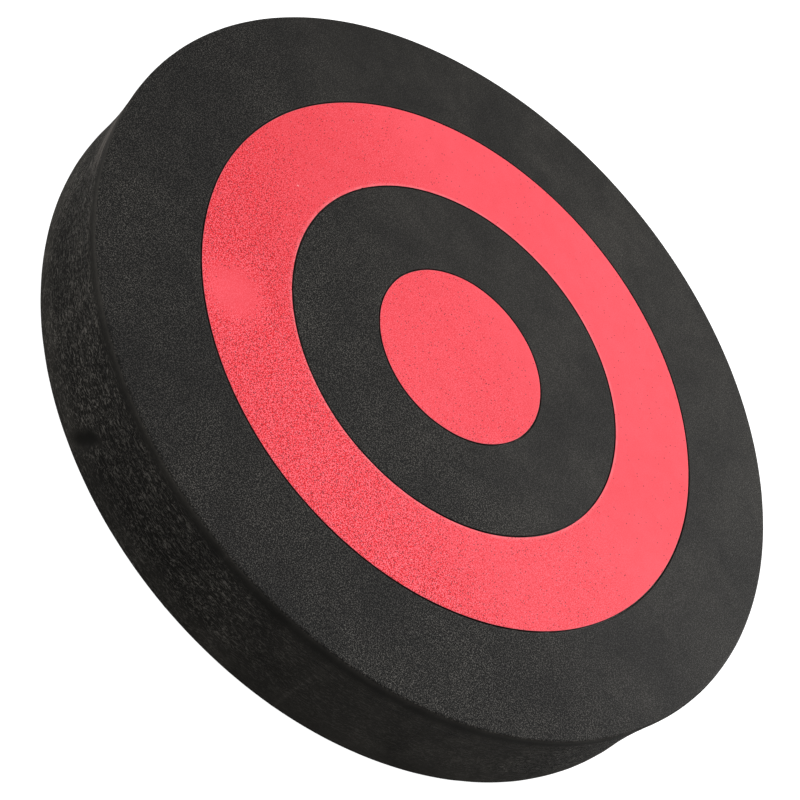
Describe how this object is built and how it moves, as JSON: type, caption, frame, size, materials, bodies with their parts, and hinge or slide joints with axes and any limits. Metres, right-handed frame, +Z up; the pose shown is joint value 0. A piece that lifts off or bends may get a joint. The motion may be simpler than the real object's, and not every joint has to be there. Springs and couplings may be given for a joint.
{
  "type": "balance pad",
  "caption": "Thick round foam balance pad with a flat top of red and black concentric inlaid rings, a softened bottom rim and a slightly hollow side wall.",
  "frame": {"origin": "centre of the underside, on the floor", "axes": "+Z up through the ringed top; X and Y lie in the underside, and any turn about Z is equivalent"},
  "size_m": [0.3999, 0.4, 0.056],
  "materials": {
    "black_foam": "matte",
    "red_foam": "matte",
    "adhesive": "satin"
  },
  "bodies": {
    "root": {"base_slab": "black_foam", "adhesive_film": "adhesive", "outer_black_ring": "black_foam", "red_ring": "red_foam", "inner_black_ring": "black_foam", "red_centre_disc": "red_foam", "outer_seam_glue": "adhesive", "middle_seam_glue": "adhesive", "centre_seam_glue": "adhesive"}
  },
  "joints": []
}
